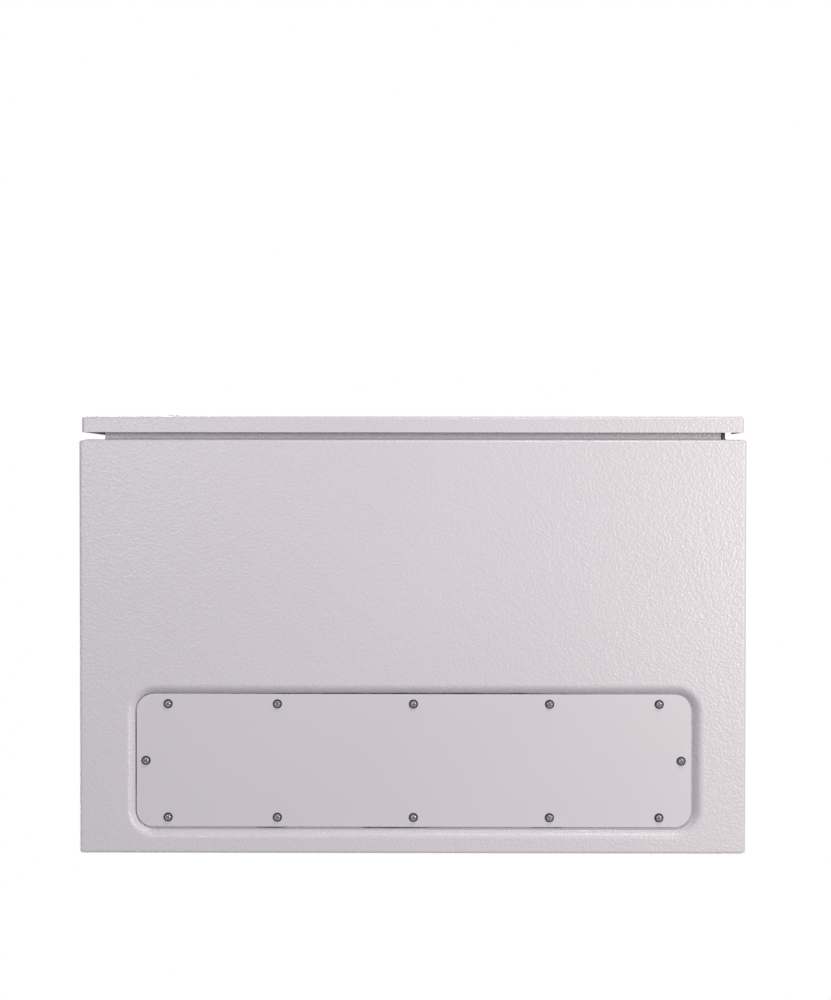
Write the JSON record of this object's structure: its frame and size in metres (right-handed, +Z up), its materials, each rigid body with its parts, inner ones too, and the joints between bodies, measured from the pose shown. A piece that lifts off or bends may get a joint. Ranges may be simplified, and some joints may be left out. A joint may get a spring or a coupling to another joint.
{
  "type": "wall-hung outdoor rack cabinet",
  "caption": "Light grey wall-hung outdoor rack cabinet of folded sheet steel, with a hinged front door, a quarter-turn lock, rack rails and a screwed gland plate in its base.",
  "frame": {"origin": "centre of the body's underside, on the flat of the base panel", "axes": "+Z up, the door faces -Y, +X to the right of someone facing the door"},
  "size_m": [0.6, 0.4057, 0.6],
  "materials": {
    "body_coat": "textured",
    "door_coat": "textured",
    "plate_coat": "satin",
    "zinc_sheet": "galvanised",
    "zinc_steel": "zinc plated",
    "lock_metal": "satin",
    "seal": "matte"
  },
  "bodies": {
    "cabinet": {"base_panel": "body_coat", "roof_panel": "body_coat", "side_wall_left": "body_coat", "side_wall_right": "body_coat", "back_wall": "body_coat", "front_frame_bottom": "body_coat", "front_frame_top": "body_coat", "front_frame_left": "body_coat", "front_frame_right": "body_coat", "gland_plate": "plate_coat", "gland_gasket": "seal", "rack_rail_left": "zinc_sheet", "rack_rail_right": "zinc_sheet", "rail_bracket_left_lower": "zinc_sheet", "rail_bracket_left_upper": "zinc_sheet", "rail_bracket_right_lower": "zinc_sheet", "rail_bracket_right_upper": "zinc_sheet", "hinge_bracket_lower": "zinc_steel", "hinge_bracket_upper": "zinc_steel", "hinge_pin_lower": "zinc_steel", "hinge_pin_upper": "zinc_steel", "earth_stud_body": "zinc_steel"},
    "door": {"door_panel": "door_coat", "door_gasket": "seal", "door_stiffener_left": "zinc_sheet", "door_stiffener_right": "zinc_sheet", "hinge_leaf_lower": "zinc_steel", "hinge_leaf_upper": "zinc_steel", "earth_stud_door": "zinc_steel", "lock_housing": "lock_metal", "lock_nut": "zinc_steel"},
    "lock": {"lock_rotor": "lock_metal", "lock_cam": "zinc_steel", "lock_cam_nut": "zinc_steel"}
  },
  "joints": [
    {"name": "door_hinge", "type": "hinge", "parent": "cabinet", "child": "door", "pos_m": [0.293, -0.2006, 0.3], "axis": [0, 0, 1], "range_deg": [0, 120]},
    {"name": "lock_turn", "type": "hinge", "parent": "door", "child": "lock", "pos_m": [-0.259, -0.2075, 0.3], "axis": [0, -1, 0], "range_deg": [0, 90]}
  ]
}
